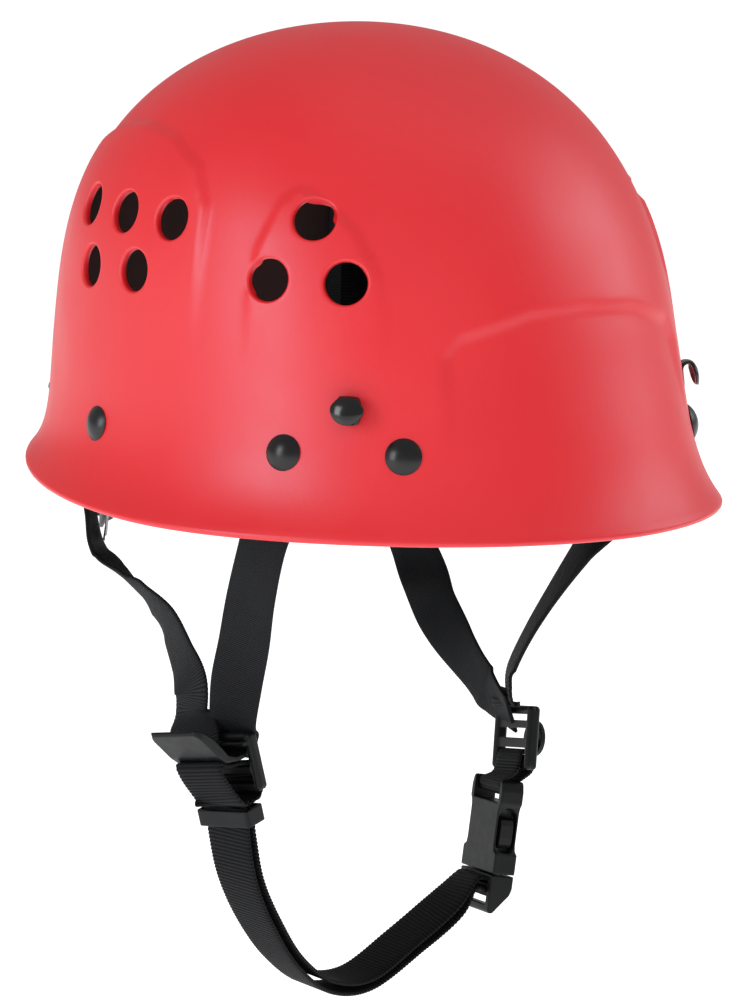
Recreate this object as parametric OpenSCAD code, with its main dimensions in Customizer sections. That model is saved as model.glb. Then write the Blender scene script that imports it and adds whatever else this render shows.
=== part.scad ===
// Climbing helmet with a textile cradle, nape adjuster and chin harness.
// Millimetres. Z is up, the brow faces -Y, the wearer's right side is -X.
// The origin is the centre of the head opening, at the level of the rim.

/* [Shell] */
// Half length of the dome at the brow, without the flare
dome_front = 131.4; // [120:0.1:140]
// Half length of the dome at the back, without the flare
dome_rear = 122.2; // [112:0.1:130]
// Half width of the dome, without the flare
dome_side = 106.8; // [98:0.1:115]
// Height of the crown above the rim level
dome_height = 166.3; // [155:0.1:175]
// Wall thickness of the moulded shell
wall = 2.75; // [2.2:0.05:3.2]
// How far the rim flares out at the sides
rim_flare = 14.7; // [10:0.1:17]
// Diameter of each vent hole
vent_d = 15; // [10:0.5:16]

/* [Fasteners] */
// Diameter of the rivets' domed heads
rivet_head_d = 12.5; // [10:0.5:14]
// Diameter of the rivets' shanks
rivet_shank_d = 4.8; // [4:0.1:5]

/* [Webbing] */
// Width of the harness webbing
web_w = 20; // [16:1:20]
// Thickness of the harness webbing
web_t = 1.6; // [1.2:0.1:1.8]

/* [Nape adjuster] */
// Radius of the dial that the wearer turns
dial_r = 15; // [13:0.5:16]
// Pitch radius of the dial's pinion
pinion_r = 6; // [5:0.5:7]

/* [Buckle] */
// Height of the buckle's socket
socket_h = 36.5; // [36:0.5:39]
// Width of the buckle
buckle_w = 28; // [26:0.5:30]
// Thickness of the buckle
buckle_t = 9.6; // [9:0.1:11]

/* [Hidden] */
$fn = 48;

shell_red = [0.86, 0.12, 0.14];
black = [0.09, 0.09, 0.10];
webbing_black = [0.12, 0.12, 0.13];
grey = [0.30, 0.31, 0.32];

// ---- The dome: superellipse sections that shrink towards the crown ----
section_power = 2.1;
// A point of the surface at angle phi from the brow (left side positive), at height z,
// moved inwards by inset.
function lean(c) = c > 0 ? 2.15 : 2.9;
function shrink(t, p) = sqrt(max(1 - pow(t, p), 0));
function flare(phi, z) = (rim_flare + 3.5 * cos(phi) - (cos(phi) > 0 ? 3.5 * pow(sin(2 * phi), 2) : 0))
    * exp(-(z + 3.4 * (1 - abs(cos(phi)))) / (13.2 + 6.6 * cos(phi)));
function dome_point(phi, z, inset = 0) =
    let (c = cos(phi), s = sin(phi), h = dome_height - inset, t = min(max(z, 0) / h, 1),
        f = flare(phi, z) - inset,
        a = (c > 0 ? dome_front : dome_rear) * shrink(t, lean(c)) + f * min(1, (1 - t) * 6),
        b = dome_side * shrink(t, 4.1) + f * min(1, (1 - t) * 6),
        r = pow(pow(abs(c) / max(a, 0.01), section_power) + pow(abs(s) / max(b, 0.01), section_power),
            -1 / section_power))
    [r * s, -r * c, z];
function rim_z(phi) = -3.7 * cos(phi) + 3.4 * cos(2 * phi) + 1.2 * max(cos(phi), 0) * abs(sin(phi));
function unit(v) = v / norm(v);
function normal_at(phi, z) = unit(cross(
    dome_point(phi + 1, z) - dome_point(phi - 1, z), dome_point(phi, z + 1) - dome_point(phi, z - 1)));

// Places children at a point of the shell, with their Z along the outward normal and their Y uphill.
module on_shell(phi, z) {
    n = normal_at(phi, z);
    translate(dome_point(phi, z))
        rotate([0, acos(n[2]), atan2(n[1], n[0])])
            rotate([0, 0, 90])
                children();
}
module both_sides() {
    children();
    mirror([1, 0, 0]) children();
}

// ---- Swept webbing ----
// Rows are [x, y, z, heading of the width direction in degrees].
steps = 4;
function spline(a, b, c, d, u) =
    0.5 * (2 * b + (c - a) * u + (2 * a - 5 * b + 4 * c - d) * u * u + (3 * b - a - 3 * c + d) * u * u * u);
function smooth_rows(rows) = let (n = len(rows)) [
    for (i = [0:n - 2], k = [0:steps - 1])
        spline(rows[max(i - 1, 0)], rows[i], rows[i + 1], rows[min(i + 2, n - 1)], k / steps),
    rows[n - 1]];
function point_of(row) = [row[0], row[1], row[2]];
module ribbon(rows, width = web_w, thick = web_t) {
    q = smooth_rows(rows);
    n = len(q);
    corners = [for (i = [0:n - 1])
        let (p = point_of(q[i]),
            t = unit(point_of(q[min(i + 1, n - 1)]) - point_of(q[max(i - 1, 0)])),
            w0 = [cos(q[i][3]), sin(q[i][3]), 0],
            w = unit(w0 - (w0 * t) * t),
            d = cross(t, w))
        each [p - w * width / 2 - d * thick / 2, p + w * width / 2 - d * thick / 2,
            p + w * width / 2 + d * thick / 2, p - w * width / 2 + d * thick / 2]];
    sides = [for (i = [0:n - 2], k = [0:3])
        let (a = 4 * i + k, b = 4 * i + (k + 1) % 4)
        each [[a, b, a + 4], [b, b + 4, a + 4]]];
    e = 4 * (n - 1);
    polyhedron(points = corners, faces = concat(sides, [[0, 3, 2], [0, 2, 1]],
        [[e, e + 1, e + 2], [e, e + 2, e + 3]]));
}

// ---- Places ----
// Rivets: [angle from the brow, height]
rivet_places = [[34.5, 25.5], [54, 24], [100.5, 22.5], [148, 20]];
vents_front = [[51, 103], [59, 82], [44.5, 82.5]];
vents_rear = [[113, 99], [98, 99], [83, 99], [108, 78], [92, 79.5]];
clip_place = [43, 40];
rear_clip_place = [157, 44];

// Harness routes, hand-set: [x, y, z, heading of the width]
front_right_route = [[-88, -62, 18, -54], [-89, -58, 4, -66], [-88, -51, -12, -80], [-85, -42, -33, -76],
    [-81, -34, -52, -68], [-79, -28, -68, -64], [-77, -24, -82, -74]];
rear_right_route = [[-66, 88, 15, 38], [-69, 80, 2, 43], [-72.1, 68.5, -20, 45],
    [-74, 61.2, -32.3, 42], [-73, 54.7, -38, 44], [-73, 42.1, -43.9, 64], [-74.1, 30.5, -47.7, 70.5],
    [-76, 15.7, -54.2, 72.7], [-78.5, 3.3, -65.2, 77], [-80.5, -4.2, -74.3, 84],
    [-81, -5.5, -82.7, 83.4]];
front_left_route = [[88, -62, 18, 54], [89, -57, 4, 62], [89.4, -51.8, -16, 82],
    [84.7, -40, -34.9, 65.6], [81.5, -29.2, -52.2, 55.7], [77.5, -20.1, -70, 50.9],
    [73.3, -15.2, -85.2, 50], [71, -16.2, -92, 49]];
rear_left_route = [[66, 88, 15, -38], [73, 78, -3, -48], [81, 64, -27, -64], [79.3, 50.3, -48.3, -73],
    [78.4, 41.9, -60, -68], [77.4, 32.5, -71.6, -72], [77.4, 18.9, -84.2, -88],
    [77.1, 6.3, -91.7, -94], [77.6, -0.4, -95.5, -106]];
chin_route = [[-74.3, -22.5, -111.5, -80], [-73, -22.5, -126, -80], [-68, -22, -143, -82],
    [-57, -20, -161, -84], [-42, -17, -179, -88], [-22, -13, -193, -90], [0, -11, -197, -90],
    [24, -11, -187, -92], [41, -14.5, -175.5, -96], [51, -16.2, -168.8, -102]];
return_route = [[-84.5, -24, -105, -76], [-79, -23.2, -113, -80], [-76, -22.5, -126, -80],
    [-71, -22, -144, -82], [-60, -20, -163, -84], [-44, -17, -182, -88], [-23, -13, -197, -90],
    [0, -11, -201, -90], [26, -11, -191, -92], [43, -14.8, -180.5, -96], [51, -16.6, -175, -102]];
link_w = 15;
link_route = [[66.6, -18, -122.8, 73], [65.9, -16.2, -127, 73], [65, -14.9, -130.7, 73]];

// ---- Shell group ----
rings = 16;
around = 80;
dome_top = 0.995;
function ring_z(phi, j) = rim_z(phi) + (dome_height * dome_top - rim_z(phi)) * sin(90 * j / rings);
module dome_solid() {
    outer = [for (j = [0:rings], i = [0:around - 1]) let (phi = i * 360 / around)
        dome_point(phi, ring_z(phi, j))];
    inner = [for (j = [0:rings], i = [0:around - 1]) let (phi = i * 360 / around, z = ring_z(phi, j))
        dome_point(phi, z * (dome_height - wall) / dome_height, wall)];
    n = around * (rings + 1);
    apex = [[0, 0, dome_height], [0, 0, dome_height - wall]];
    function at(j, i) = j * around + i % around;
    wall_faces = [for (j = [0:rings - 1], i = [0:around - 1]) each [
        [at(j, i), at(j + 1, i), at(j, i + 1)], [at(j, i + 1), at(j + 1, i), at(j + 1, i + 1)],
        [n + at(j, i), n + at(j, i + 1), n + at(j + 1, i)],
        [n + at(j, i + 1), n + at(j + 1, i + 1), n + at(j + 1, i)]]];
    cap_faces = [for (i = [0:around - 1]) each [
        [at(rings, i), 2 * n, at(rings, i + 1)], [n + at(rings, i), n + at(rings, i + 1), 2 * n + 1]]];
    rim_faces = [for (i = [0:around - 1]) each [
        [at(0, i), at(0, i + 1), n + at(0, i)], [at(0, i + 1), n + at(0, i + 1), n + at(0, i)]]];
    polyhedron(points = concat(outer, inner, apex), faces = concat(wall_faces, cap_faces, rim_faces));
}
module shell() color(shell_red) difference() {
    dome_solid();
    both_sides() for (p = concat(vents_front, vents_rear))
        on_shell(p[0], p[1]) translate([0, 0, -8]) cylinder(d = vent_d, h = 16);
    both_sides() for (p = rivet_places)
        on_shell(p[0], p[1]) translate([0, 0, -8]) cylinder(d = rivet_shank_d + 0.2, h = 16);
}

rivet_len = wall + web_t + 2.6;
module rivet() {
    // Domed head, a cap of a sphere that stands 2.4 mm high
    cap_r = (pow(rivet_head_d / 2, 2) + 2.4 * 2.4) / (2 * 2.4);
    translate([0, 0, 0.35]) intersection() {
        translate([0, 0, 2.4 - cap_r]) sphere(r = cap_r);
        cylinder(d = rivet_head_d + 1, h = 3);
    }
    translate([0, 0, -rivet_len]) cylinder(d = rivet_shank_d, h = rivet_len + 1);
    translate([0, 0, -rivet_len - 1]) cylinder(d = rivet_shank_d + 2, h = 1.2);
}
module rivets() color(black) both_sides() for (p = rivet_places) on_shell(p[0], p[1]) rivet();
washer_z = -rivet_len + 0.3;
module rivet_washers() color(grey) both_sides() for (p = rivet_places)
    on_shell(p[0], p[1]) translate([0, 0, washer_z]) difference() {
        cylinder(d = 11, h = 1);
        translate([0, 0, -1]) cylinder(d = rivet_shank_d + 0.2, h = 3);
    }

// Spring hook: a foot on the shell, a bridge at its uphill end and a round outer plate, open downhill
hook_w = 7.4;
hook_t = 1.2;
hook_r = 5.8;
hook_foot = 9;
hook_seat = 0.3;
hook_stand = 6.2;
hook_top = 4;
module lamp_clip() {
    translate([-hook_w / 2, hook_top - hook_foot, hook_seat]) cube([hook_w, hook_foot, hook_t]);
    translate([-hook_w / 2, hook_top - hook_t, hook_seat]) cube([hook_w, hook_t, hook_stand + hook_t]);
    intersection() {
        translate([0, hook_top - hook_r + 1.2, hook_seat + hook_stand]) cylinder(r = hook_r, h = hook_t);
        translate([-hook_r, hook_top - 2 * hook_r, hook_stand]) cube([2 * hook_r, 2 * hook_r, 2]);
    }
}
module lamp_clips_front() color(black) both_sides() on_shell(clip_place[0], clip_place[1]) lamp_clip();
module lamp_clips_rear() color(black)
    both_sides() on_shell(rear_clip_place[0], rear_clip_place[1]) lamp_clip();

// ---- Cradle ----
// A strap from one shell point up over the head and down to another, under the dome
cradle_top = 132;
function arc_rows(phi, z, reach, heading) = [
    for (k = [0:6]) let (u = k / 6, r = reach * sin(90 * (1 - u)), h = z + (cradle_top - z) * sin(90 * u))
        [r * sin(phi), -r * cos(phi), h, heading]];
module cradle_strap(phi_a, reach_a, phi_b, reach_b, drop, heading) {
    a = arc_rows(phi_a, 34, reach_a, heading);
    b = arc_rows(phi_b, 34, reach_b, heading);
    rows = concat([for (k = [0:5]) a[k]], [for (k = [5:-1:0]) b[k]]);
    translate([0, 0, -drop]) ribbon(rows, width = web_w, thick = 1.2);
}
module crown_strap_right_brow() color(webbing_black) cradle_strap(-40, 107, 140, 98, 0, -40);
module crown_strap_left_brow() color(webbing_black) cradle_strap(40, 107, -140, 98, 2, 40);
module crown_strap_side() color(webbing_black) cradle_strap(-92, 93, 88, 93, 4, 90);
module crown_pad() color(black) translate([0, -2, cradle_top - 13])
    cylinder(d = 62, h = 3);

// The headband: an oval band that tapers in height towards the nape
band_a = 99;
band_b = 82;
function band_point(phi, off = 0) = [(band_b + off) * sin(phi), -(band_a + off) * cos(phi)];
module band_arc(from, to, off, thick, z0, z1, n = 24) {
    outer = [for (k = [0:n]) band_point(from + (to - from) * k / n, off + thick)];
    inner = [for (k = [n:-1:0]) band_point(from + (to - from) * k / n, off)];
    translate([0, 0, z0]) linear_extrude(height = z1 - z0) polygon(concat(outer, inner));
}
module headband() color(black) band_arc(-128, 128, 0, 1.8, 2, 34, 40);
module brow_pad() color([0.16, 0.16, 0.17]) band_arc(-62, 62, -5.3, 5, 0, 36, 24);
module hanger_tabs() color(black) both_sides() for (p = [[36, 88], [98, 84], [124, 88]])
    band_arc(p[0] - 7, p[0] + 7, 2.1, 2, 14, 44, 4);

// Nape: flexible bands hang lower than the rim and lead to a housing with a dial and two racks
nape_y = 97;
nape_z = -21;
function nape_route(side) = [for (r = [[61.5, 68, 6, 130], [61, 72, -3, 133], [58.5, 77.5, -14, 138],
    [52, 87, -20.5, 150], [45, 94.5, -21, 165]])
    [side * r[0], r[1], r[2], side > 0 ? r[3] - 90 : 90 + 180 - r[3]]];
module nape_band_right() color(black) ribbon(nape_route(-1), width = 1.8, thick = 24);
module nape_band_left() color(black) ribbon(nape_route(1), width = 1.8, thick = 24);

pinion_teeth = 10;
pitch = 2 * PI * pinion_r / pinion_teeth;
rack_t = 1.3;
rack_gap = 0.3;
tooth_out = 0.9;
tooth_in = 1.3;
// Tooth outline on a straight edge, narrower at the tip than at the foot
module rack_teeth(from, to) for (k = [from:to]) translate([(k + 0.5) * pitch, 0])
    polygon([[-1.2, 0.5], [-1.2, 0], [-0.35, -tooth_out - tooth_in],
        [0.35, -tooth_out - tooth_in], [1.2, 0], [1.2, 0.5]]);
module pinion(h) linear_extrude(height = h) {
    circle(r = pinion_r - tooth_in);
    for (k = [0:pinion_teeth - 1]) rotate(90 + 360 * k / pinion_teeth)
        polygon([[pinion_r - tooth_in - 0.4, -1.1], [pinion_r + tooth_out, -0.4],
            [pinion_r + tooth_out, 0.4], [pinion_r - tooth_in - 0.4, 1.1]]);
}
// A flat strip with a long window; the teeth stand on the window's upper edge
window_half = pinion_r + tooth_in + 0.15;
module rack() rotate([90, 0, 0]) linear_extrude(height = rack_t) {
    difference() {
        translate([-44, -10]) square([62, 20]);
        translate([-14, -window_half]) square([28, 2 * window_half]);
    }
    translate([0, window_half]) rack_teeth(-3, 2);
}
rack_y = nape_y + 2;
module nape_rack_right() color(grey) translate([0, rack_y + rack_t, nape_z]) rack();
module nape_rack_left() color(grey)
    translate([0, rack_y + 2 * rack_t + rack_gap, nape_z]) rotate([0, 180, 0]) rack();
housing_w = 52;
module nape_housing() color(black) difference() {
    translate([-housing_w / 2, nape_y - 1, nape_z - 15]) cube([housing_w, 9, 30]);
    // Slot for the racks, open at both ends
    translate([-housing_w, rack_y - 0.4, nape_z - 10.4])
        cube([2 * housing_w, 2 * rack_t + rack_gap + 0.8, 20.8]);
    // Bearing hole for the dial
    translate([0, nape_y + 12, nape_z]) rotate([90, 0, 0]) cylinder(r = pinion_r + tooth_out + 0.4, h = 8);
}
module nape_dial() color(black) translate([0, 0, nape_z]) rotate([-90, 0, 0]) mirror([0, 1, 0]) {
    translate([0, 0, nape_y + 8.4]) difference() {
        cylinder(r = dial_r, h = 8);
        for (k = [0:11]) rotate([0, 0, 30 * k]) translate([dial_r + 1.2, 0, -1]) cylinder(r = 2.4, h = 11);
    }
    translate([0, 0, rack_y]) pinion(nape_y + 8.4 - rack_y + 0.2);
}
module nape_pad() color([0.16, 0.16, 0.17])
    translate([-22, nape_y - 7.5, nape_z - 14]) cube([44, 6, 28]);

label_size = [12, 0.6, 19];
module care_label() color([0.75, 0.75, 0.74]) translate([-70.7, 59.6, -31.5]) rotate([0, 0, 48])
    translate([0, -label_size[1] / 2, 0]) cube(label_size);

// ---- Chin harness ----
module strap_front_right() color(webbing_black) ribbon(front_right_route);
module strap_rear_right() color(webbing_black) ribbon(rear_right_route);
module strap_front_left() color(webbing_black) ribbon(front_left_route);
module strap_rear_left() color(webbing_black) ribbon(rear_left_route);
module chin_strap() color(webbing_black) ribbon(chin_route);
module chin_strap_return() color(webbing_black) ribbon(return_route);
module link_strap_left() color(webbing_black) ribbon(link_route, width = link_w);

right_lock = [-76, -21, -99];
left_lock = [72.2, -20, -112.3];
right_h = 22;
left_h = 25;
// Ladder lock: X across the webbing, Y away from the head, Z up
frame_w = 28;
bar_r = 1.7;
side_y = 0.9;
// bars lists the lower and upper edge of each square cross bar
module ladder_frame(h, bars) {
    for (s = [-1, 1]) translate([s * (frame_w / 2 - bar_r), 0, -h / 2]) {
        for (y = [-side_y, side_y]) translate([0, y, 0]) cylinder(r = bar_r, h = h);
        translate([-bar_r, -side_y, 0]) cube([2 * bar_r, 2 * side_y, h]);
    }
    // Round top bar, which the V straps fold round and the frame tilts on
    translate([-frame_w / 2 + 1, 0, h / 2 - bar_r]) rotate([0, 90, 0]) cylinder(r = bar_r, h = frame_w - 2);
    for (b = bars) translate([-frame_w / 2 + 2, -1.5, b[0]]) cube([frame_w - 4, 3, b[1] - b[0]]);
}
tab_w = 22;
module adjuster_right() color(black) translate(right_lock) rotate([0, 0, 90 + 14]) rotate([-8, 11, 0]) {
    ladder_frame(right_h, [[2.2, 4.2], [-4.5, -1.5], [-10.8, -8.2]]);
    // Lift tab: goes out from the upper cross bar, then rises
    translate([-tab_w / 2, 0, 0]) rotate([90, 0, 90]) linear_extrude(height = tab_w)
        polygon([[0, 2.3], [8, 2.7], [14.5, 4.2], [18.5, 7.9], [27.6, 19], [26.6, 20.6], [22.5, 17.8],
            [18.9, 14.6], [15.6, 10.6], [12.5, 6.4], [8, 4.4], [0, 4.1]]);
}
// Push plate of the left lock
disc_r = 7;
disc_y = 7.4;
module adjuster_left() color(black) translate(left_lock) rotate([0, 0, -90 - 14]) rotate([-9, -12, 0]) {
    ladder_frame(left_h, [[3.7, 6.7], [-4, -0.2], [-12.2, -9.2]]);
    // Round push plate on a stem from the middle cross bar
    translate([-3, 1, -3.6]) cube([6, disc_y - 0.5, 3]);
    translate([0, disc_y + 2, 0]) rotate([90, 0, 0]) cylinder(r = disc_r, h = 2);
}

keeper_at = [-75.4, -22.5, -118.6];
keeper_size = [24.2, 10, 6.2];
keeper_hole = [22, 7.4, 10];
module strap_keeper() color(black) translate(keeper_at) rotate([0, 0, 90 + 10]) rotate([-10, 9, 0])
    difference() {
        cube(keeper_size, center = true);
        cube(keeper_hole, center = true);
    }

// Side-release buckle: X towards the brow, Y away from the head, Z along the strap, from the mouth up
buckle_at = [61.3, -18, -164.8];
module in_buckle() translate(buckle_at) rotate([0, 0, -107]) rotate([-9.5, -7, 0]) children();
barb_x = 11.7;
cavity_x = 10.4;
slot_x = 10.5;
waist_x = 11.8;
waist_t = 8.8;
module buckle_socket() color(black) in_buckle() difference() {
    union() {
        translate([-buckle_w / 2, -buckle_t / 2, 0]) cube([buckle_w, buckle_t, 8.5]);
        translate([-waist_x, -waist_t / 2, 8]) cube([2 * waist_x, waist_t, 18]);
        translate([-buckle_w / 2 + 1, -buckle_t / 2, 25]) cube([buckle_w - 2, buckle_t, socket_h - 25]);
    }
    // Cavity for the plug's prongs
    translate([-cavity_x, -3.2, -1]) cube([2 * cavity_x, 6.4, 26]);
    // Side windows that the prongs catch in
    for (s = [-1, 1]) translate([s * 12, 0, 0]) hull() for (z = [12.2, 20.6])
        translate([0, 0, z]) rotate([0, 90, 0]) cylinder(d = 7.6, h = 8, center = true, $fn = 32);
    // Webbing slot, and the faces of the top bar cut back so that the webbing folds round it
    translate([-slot_x, -8, 27.6]) cube([2 * slot_x, 16, 4.2]);
    for (s = [-1, 1]) translate([-slot_x, s * 5 - 3.2, 27.6]) cube([2 * slot_x, 6.4, 12]);
    translate([-slot_x, -8, 35.2]) cube([2 * slot_x, 16, 4]);
}
plug_bar_t = 3.6;
module buckle_plug() color(black) in_buckle() union() {
    difference() {
        translate([-buckle_w / 2 + 0.5, -buckle_t / 2, -15.6]) cube([buckle_w - 1, buckle_t, 15]);
        translate([-slot_x, -8, -12.4]) cube([2 * slot_x, 16, 10.2]);
    }
    // Bar that the chin strap folds round
    translate([-slot_x - 1, -plug_bar_t / 2, -8.3]) cube([2 * slot_x + 2, plug_bar_t, 3.4]);
    translate([-2, -1.8, -1]) cube([4, 3.6, 20]);
}
// Sprung arm: a leaf with a barb on its outer side
prong_t = 5.4;
module prong() union() {
    translate([6.8, -prong_t / 2, 1]) cube([2.6, prong_t, 20.5]);
    translate([8.1, prong_t / 2, 1]) rotate([90, 0, 0]) cylinder(r = 1.3, h = prong_t);
    translate([9, -prong_t / 2, 10]) cube([barb_x - 9, prong_t, 11.5]);
}
module buckle_prong_front() color(black) in_buckle() prong();
module buckle_prong_rear() color(black) in_buckle() mirror([1, 0, 0]) prong();

shell();
rivets();
rivet_washers();
lamp_clips_front();
lamp_clips_rear();
crown_strap_right_brow();
crown_strap_left_brow();
crown_strap_side();
crown_pad();
headband();
hanger_tabs();
brow_pad();
nape_pad();
nape_band_right();
nape_band_left();
nape_housing();
nape_dial();
nape_rack_right();
nape_rack_left();
care_label();
strap_front_right();
strap_rear_right();
strap_front_left();
strap_rear_left();
adjuster_right();
adjuster_left();
strap_keeper();
chin_strap();
chin_strap_return();
link_strap_left();
buckle_socket();
buckle_plug();
buckle_prong_front();
buckle_prong_rear();
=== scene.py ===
"""Climbing helmet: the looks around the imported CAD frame.

Lengths in the helper functions are millimetres, as in the CAD source, and MM turns them into metres.
The brow faces -Y, the wearer's right side is -X, +Z is up.
"""
import math

import bmesh
import bpy
import numpy as np
from mathutils import Matrix, Vector


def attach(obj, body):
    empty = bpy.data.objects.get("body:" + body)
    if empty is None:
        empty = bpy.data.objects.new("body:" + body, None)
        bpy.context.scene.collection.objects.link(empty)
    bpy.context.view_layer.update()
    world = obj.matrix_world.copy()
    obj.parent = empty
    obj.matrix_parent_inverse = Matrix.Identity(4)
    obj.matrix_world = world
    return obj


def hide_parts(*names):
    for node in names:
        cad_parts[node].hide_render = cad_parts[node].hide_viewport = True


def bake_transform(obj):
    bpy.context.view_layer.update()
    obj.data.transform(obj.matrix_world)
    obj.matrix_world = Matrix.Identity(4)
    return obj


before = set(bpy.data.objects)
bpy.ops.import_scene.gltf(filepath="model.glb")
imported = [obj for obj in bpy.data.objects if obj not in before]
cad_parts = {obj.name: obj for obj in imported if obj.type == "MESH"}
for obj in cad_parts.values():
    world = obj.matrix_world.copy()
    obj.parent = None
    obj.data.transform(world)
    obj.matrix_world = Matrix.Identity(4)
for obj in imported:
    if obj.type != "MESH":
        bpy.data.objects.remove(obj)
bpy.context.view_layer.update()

MM = 0.001
SIDES = (-1, 1)


# --- camera, light, stage
def camera():
    """The photograph's view: from the wearer's front right, a little above."""
    az, el, roll = math.radians(-42.15), math.radians(10.0), math.radians(1.76)
    distance = 1.3
    back = Vector((math.sin(az) * math.cos(el), -math.cos(az) * math.cos(el), math.sin(el)))
    right = (-back).cross(Vector((0, 0, 1))).normalized()
    up = right.cross(-back)
    x_axis = right * math.cos(roll) + up * math.sin(roll)
    y_axis = up * math.cos(roll) - right * math.sin(roll)
    data = bpy.data.cameras.new("camera")
    data.lens = 124.0
    data.sensor_width = 36
    data.shift_x = 0.0128
    data.shift_y = -0.0348
    data.clip_start = 0.05
    cam = bpy.data.objects.new("camera", data)
    turn = Matrix((x_axis, y_axis, back)).transposed().to_4x4()
    cam.matrix_world = Matrix.Translation(back * distance) @ turn
    bpy.context.scene.collection.objects.link(cam)
    bpy.context.scene.camera = cam


def soft_box(name, place, aim, size, power, tint=(1, 1, 1)):
    data = bpy.data.lights.new(name, "AREA")
    data.shape = "RECTANGLE"
    data.size, data.size_y = size
    data.energy = power
    data.color = tint
    lamp = bpy.data.objects.new(name, data)
    lamp.location = place
    lamp.rotation_mode = "QUATERNION"
    lamp.rotation_quaternion = (Vector(aim) - Vector(place)).to_track_quat("-Z", "Y")
    bpy.context.scene.collection.objects.link(lamp)
    return lamp


def studio():
    """A pale sweep with soft light all round, a bright window on the left and a weaker one on the right."""
    world = bpy.data.worlds.new("studio")
    world.use_nodes = True
    world.node_tree.nodes["Background"].inputs["Color"].default_value = (0.98, 0.985, 1.0, 1)
    world.node_tree.nodes["Background"].inputs["Strength"].default_value = 0.39
    bpy.context.scene.world = world
    soft_box("key_left", (-1.80, 0.10, 0.50), (0, 0, 0.05), (0.6, 1.0), 12, (0.95, 0.97, 1.0))
    soft_box("light_right", (1.70, -0.75, 0.95), (0, 0, 0.05), (1.0, 1.1), 9)
    fills = [soft_box("fill_front", (-0.7, -1.4, 1.0), (0, 0, 0.03), (1.5, 1.0), 5),
             soft_box("fill_top", (0.3, -0.2, 1.9), (0, 0, 0.1), (1.6, 1.6), 9)]
    for fill in fills:
        fill.visible_glossy = False
    bpy.context.scene.view_settings.view_transform = "Standard"

    half = 40.0
    floor_z = -0.30
    mesh = bpy.data.meshes.new("floor")
    mesh.from_pydata([(-half, -half, floor_z), (half, -half, floor_z), (half, half, floor_z),
                      (-half, half, floor_z)], [], [(0, 1, 2, 3)])
    floor = bpy.data.objects.new("floor", mesh)
    bpy.context.scene.collection.objects.link(floor)
    mesh.materials.append(plain("floor", (0.96, 0.96, 0.96), 0.9, glow=0.70))


# --- materials
class Shader:
    """A material under construction: a Principled shader and short calls that add nodes."""

    def __init__(self, name):
        self.material = bpy.data.materials.new(name)
        self.material.use_nodes = True
        self.tree = self.material.node_tree
        self.surface = self.tree.nodes["Principled BSDF"]

    def node(self, kind, **inputs):
        made = self.tree.nodes.new(kind)
        for key, value in inputs.items():
            self.set(made, key.replace("_", " "), value)
        return made

    def set(self, node, socket, value):
        target = node.inputs[socket]
        if isinstance(value, bpy.types.NodeSocket):
            self.tree.links.new(value, target)
        elif target.type == "RGBA":
            target.default_value = (*value[:3], 1)
        else:
            target.default_value = value

    def noise(self, scale, detail=3, rough=0.5):
        made = self.node("ShaderNodeTexNoise", Scale=scale, Detail=detail, Roughness=rough)
        self.set(made, "Vector", self.node("ShaderNodeTexCoord").outputs["Object"])
        return made.outputs["Fac"]

    def ramp(self, fac, low, high, start=0.35, end=0.65):
        """A mix from low to high as fac goes from start to end, for colours or numbers."""
        made = self.tree.nodes.new("ShaderNodeValToRGB")
        self.set(made, "Fac", fac)
        for stop, at, value in zip(made.color_ramp.elements, (start, end), (low, high)):
            stop.position = at
            stop.color = (value,) * 3 + (1,) if isinstance(value, (int, float)) else (*value, 1)
        return made.outputs["Color"]

    def math(self, how, a, b=0.0):
        made = self.tree.nodes.new("ShaderNodeMath")
        made.operation = how
        self.set(made, 0, a)
        self.set(made, 1, b)
        return made.outputs[0]

    def mix(self, fac, a, b, blend="MIX"):
        made = self.tree.nodes.new("ShaderNodeMix")
        made.data_type = "RGBA"
        made.blend_type = blend
        for socket, value in ((0, fac), (6, a), (7, b)):
            self.set(made, socket, value)
        return made.outputs[2]

    def bump(self, height, strength, distance):
        made = self.node("ShaderNodeBump", Strength=strength, Distance=distance, Height=height)
        self.set(self.surface, "Normal", made.outputs["Normal"])

    def finish(self, **sockets):
        for key, value in sockets.items():
            self.set(self.surface, key.replace("_", " "), value)
        return self.material


def plain(name, colour, rough, glow=0.0):
    shader = Shader(name)
    tone = shader.ramp(shader.noise(3.0), [c * 0.985 for c in colour], colour)
    return shader.finish(Base_Color=tone, Roughness=rough, Emission_Color=(1, 1, 1),
                         Emission_Strength=glow)


def moulded(name, dark, light, rough, grain=1500.0, bump=0.12, specular=0.5, patches=60.0):
    """Injection-moulded plastic: spark-eroded grain, slow tone changes, handling marks in the gloss."""
    shader = Shader(name)
    slow = shader.noise(patches, 4)
    fine = shader.noise(grain, 2, 0.6)
    tone = shader.ramp(slow, dark, light)
    gloss = shader.math("ADD", shader.ramp(shader.noise(patches * 4, 5), rough - 0.04, rough + 0.04),
                        shader.math("MULTIPLY", fine, 0.03))
    shader.bump(fine, bump, 0.00012)
    return shader.finish(Base_Color=tone, Roughness=gloss, Specular_IOR_Level=specular)


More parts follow.
